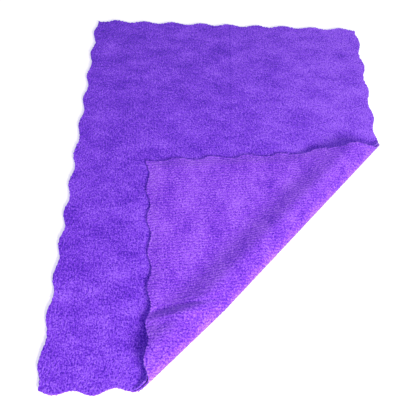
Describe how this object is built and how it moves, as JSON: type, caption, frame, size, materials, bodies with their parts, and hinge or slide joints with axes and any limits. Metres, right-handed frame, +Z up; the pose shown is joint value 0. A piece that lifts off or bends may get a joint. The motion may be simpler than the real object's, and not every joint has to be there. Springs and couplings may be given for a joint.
{
  "type": "quick dry towel",
  "caption": "Small rectangular double-sided pile towel with a scalloped heat-sealed edge, lying flat with one corner turned over.",
  "frame": {"origin": "centre of the cut rectangle, on the plane that the towel lies on", "axes": "+Y along the towel's long sides, +X along its short sides, +Z up from the surface it lies on"},
  "size_m": [0.3001, 0.4005, 0.0173],
  "materials": {
    "ground_knit": "matte",
    "front_pile": "matte",
    "back_pile": "matte",
    "sealed_edge": "satin"
  },
  "bodies": {
    "lying": {"lying_ground_knit": "ground_knit", "lying_front_pile": "front_pile", "lying_back_pile": "back_pile", "lying_sealed_edge": "sealed_edge"},
    "bend_1": {"bend_1_ground_knit": "ground_knit", "bend_1_front_pile": "front_pile", "bend_1_back_pile": "back_pile", "bend_1_sealed_edge": "sealed_edge"},
    "bend_2": {"bend_2_ground_knit": "ground_knit", "bend_2_front_pile": "front_pile", "bend_2_back_pile": "back_pile", "bend_2_sealed_edge": "sealed_edge"},
    "bend_3": {"bend_3_ground_knit": "ground_knit", "bend_3_front_pile": "front_pile", "bend_3_back_pile": "back_pile", "bend_3_sealed_edge": "sealed_edge"},
    "crown": {"crown_ground_knit": "ground_knit", "crown_front_pile": "front_pile", "crown_back_pile": "back_pile", "crown_sealed_edge": "sealed_edge"},
    "slope": {"slope_ground_knit": "ground_knit", "slope_front_pile": "front_pile", "slope_back_pile": "back_pile", "slope_sealed_edge": "sealed_edge"},
    "corner": {"corner_ground_knit": "ground_knit", "corner_front_pile": "front_pile", "corner_back_pile": "back_pile", "corner_sealed_edge": "sealed_edge"}
  },
  "joints": [
    {"name": "corner_turn", "type": "hinge", "parent": "lying", "child": "bend_1", "pos_m": [0.05972, -0.05472, 0.002], "axis": [0.6756, 0.7373, 0], "range_deg": [0, 42.5]},
    {"name": "bend_2_turn", "type": "hinge", "parent": "bend_1", "child": "bend_2", "pos_m": [0.06217, -0.05696, 0.00504], "axis": [0.6756, 0.7373, 0], "range_deg": [0, 42.5]},
    {"name": "bend_3_turn", "type": "hinge", "parent": "bend_2", "child": "bend_3", "pos_m": [0.06245, -0.05723, 0.00952], "axis": [0.6756, 0.7373, 0], "range_deg": [0, 42.5]},
    {"name": "crown_turn", "type": "hinge", "parent": "bend_3", "child": "crown", "pos_m": [0.06044, -0.05538, 0.01309], "axis": [0.6756, 0.7373, 0], "range_deg": [0, 42.5]},
    {"name": "slope_turn", "type": "hinge", "parent": "crown", "child": "slope", "pos_m": [0.051, -0.04673, 0.01535], "axis": [0.6756, 0.7373, 0], "range_deg": [0, 35]},
    {"name": "corner_settle", "type": "hinge", "parent": "slope", "child": "corner", "pos_m": [0.03669, -0.03362, 0.0063], "axis": [-0.6756, -0.7373, 0], "range_deg": [0, 25]}
  ],
  "couplings": [
    {"joint": "bend_2_turn", "follows": "corner_turn", "ratio": 1},
    {"joint": "bend_3_turn", "follows": "corner_turn", "ratio": 1},
    {"joint": "crown_turn", "follows": "corner_turn", "ratio": 1},
    {"joint": "slope_turn", "follows": "corner_turn", "ratio": 0.82353},
    {"joint": "corner_settle", "follows": "corner_turn", "ratio": 0.58824}
  ]
}
